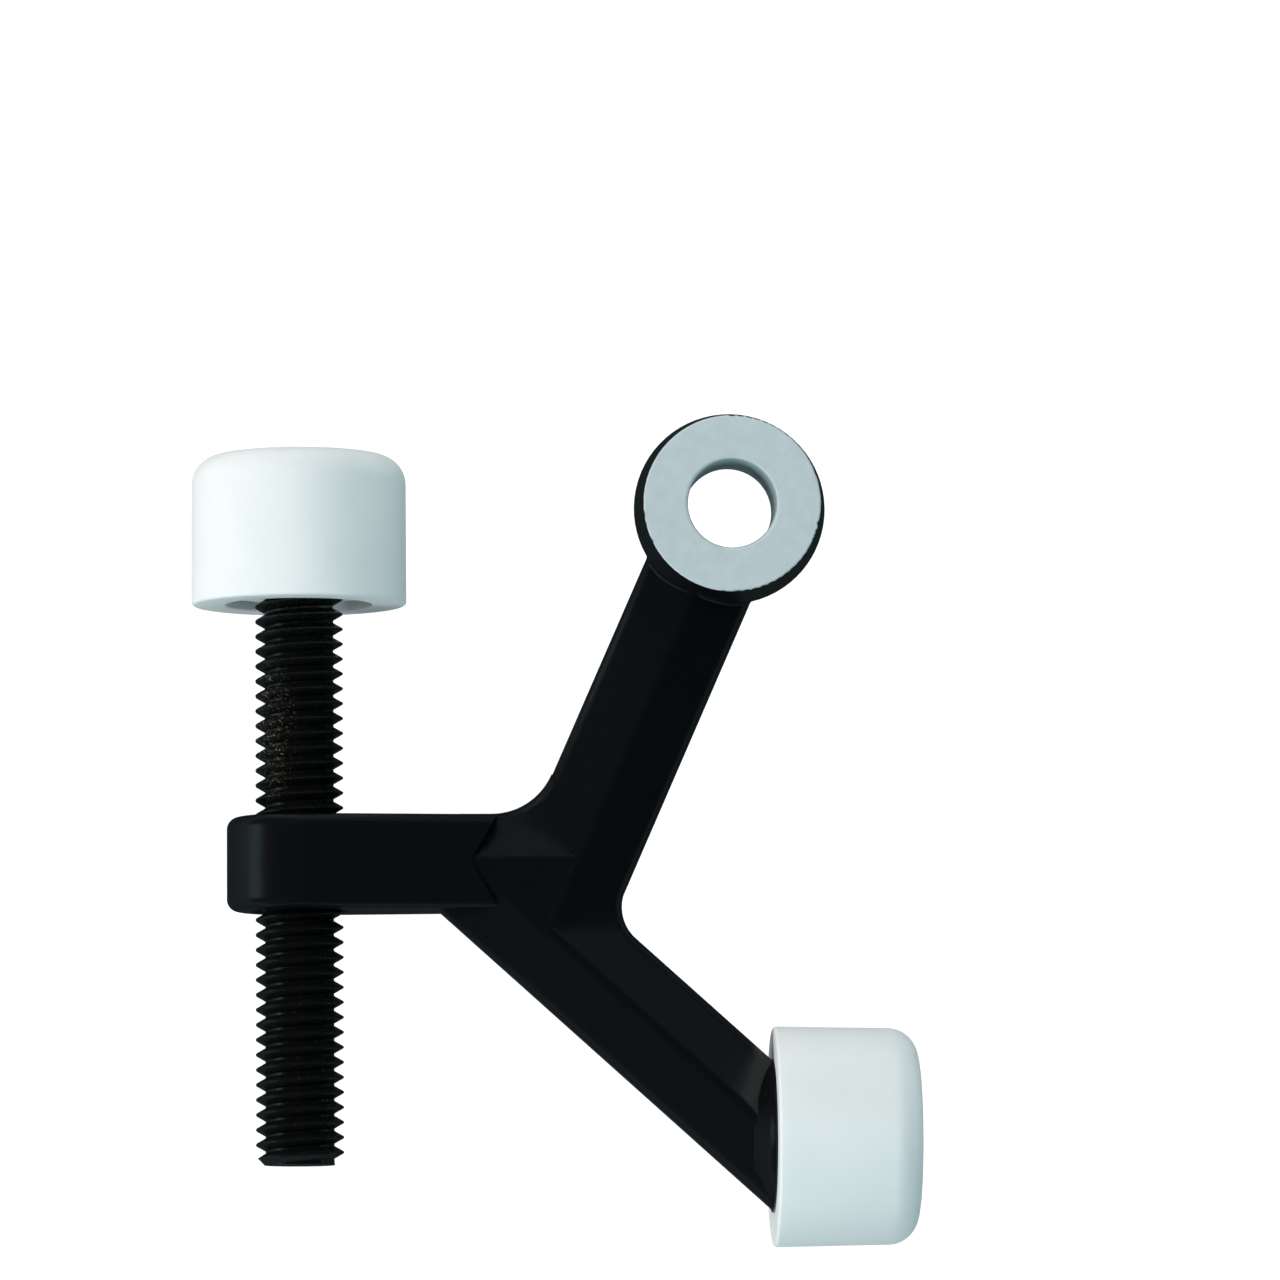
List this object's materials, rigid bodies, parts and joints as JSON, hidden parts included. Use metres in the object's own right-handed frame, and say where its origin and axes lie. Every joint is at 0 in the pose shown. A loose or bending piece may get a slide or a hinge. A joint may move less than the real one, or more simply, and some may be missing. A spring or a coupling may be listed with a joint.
{
  "type": "hinge pin door stop",
  "caption": "Y-shaped cast door stop that hangs on a hinge pin, with one fixed rubber bumper and one on a long adjusting screw.",
  "frame": {"origin": "centre of the hinge pin bore's mouth in the eye's flat back face", "axes": "+Z along the hinge pin, out of the eye's front face; +Y along the adjusting screw, towards its rubber bumper; +X towards the fixed bumper"},
  "size_m": [0.0768, 0.0884, 0.0234],
  "materials": {
    "black_casting": "satin near-black paint on a zinc die casting, bare on the eye's front face and in its bore",
    "black_screw": "black oxide on a steel machine screw",
    "white_rubber": "smooth white moulded rubber"
  },
  "bodies": {
    "casting": {"cast_body": "black_casting", "arm_bumper": "white_rubber"},
    "cap": {"screw_bumper": "white_rubber"},
    "screw": {"adjusting_screw": "black_screw"}
  },
  "joints": [
    {"name": "screw_travel", "type": "slide", "parent": "casting", "child": "cap", "axis": [0, 1, 0], "range_m": [-0.0222, 0.0254]},
    {"name": "screw_turn", "type": "hinge", "parent": "cap", "child": "screw", "pos_m": [-0.0457, -0.03749, 0], "axis": [0, 1, 0], "range_deg": [-5100, 5820]}
  ],
  "couplings": [
    {"joint": "screw_turn", "follows": "screw_travel", "rad_per_m": 3957.9}
  ]
}
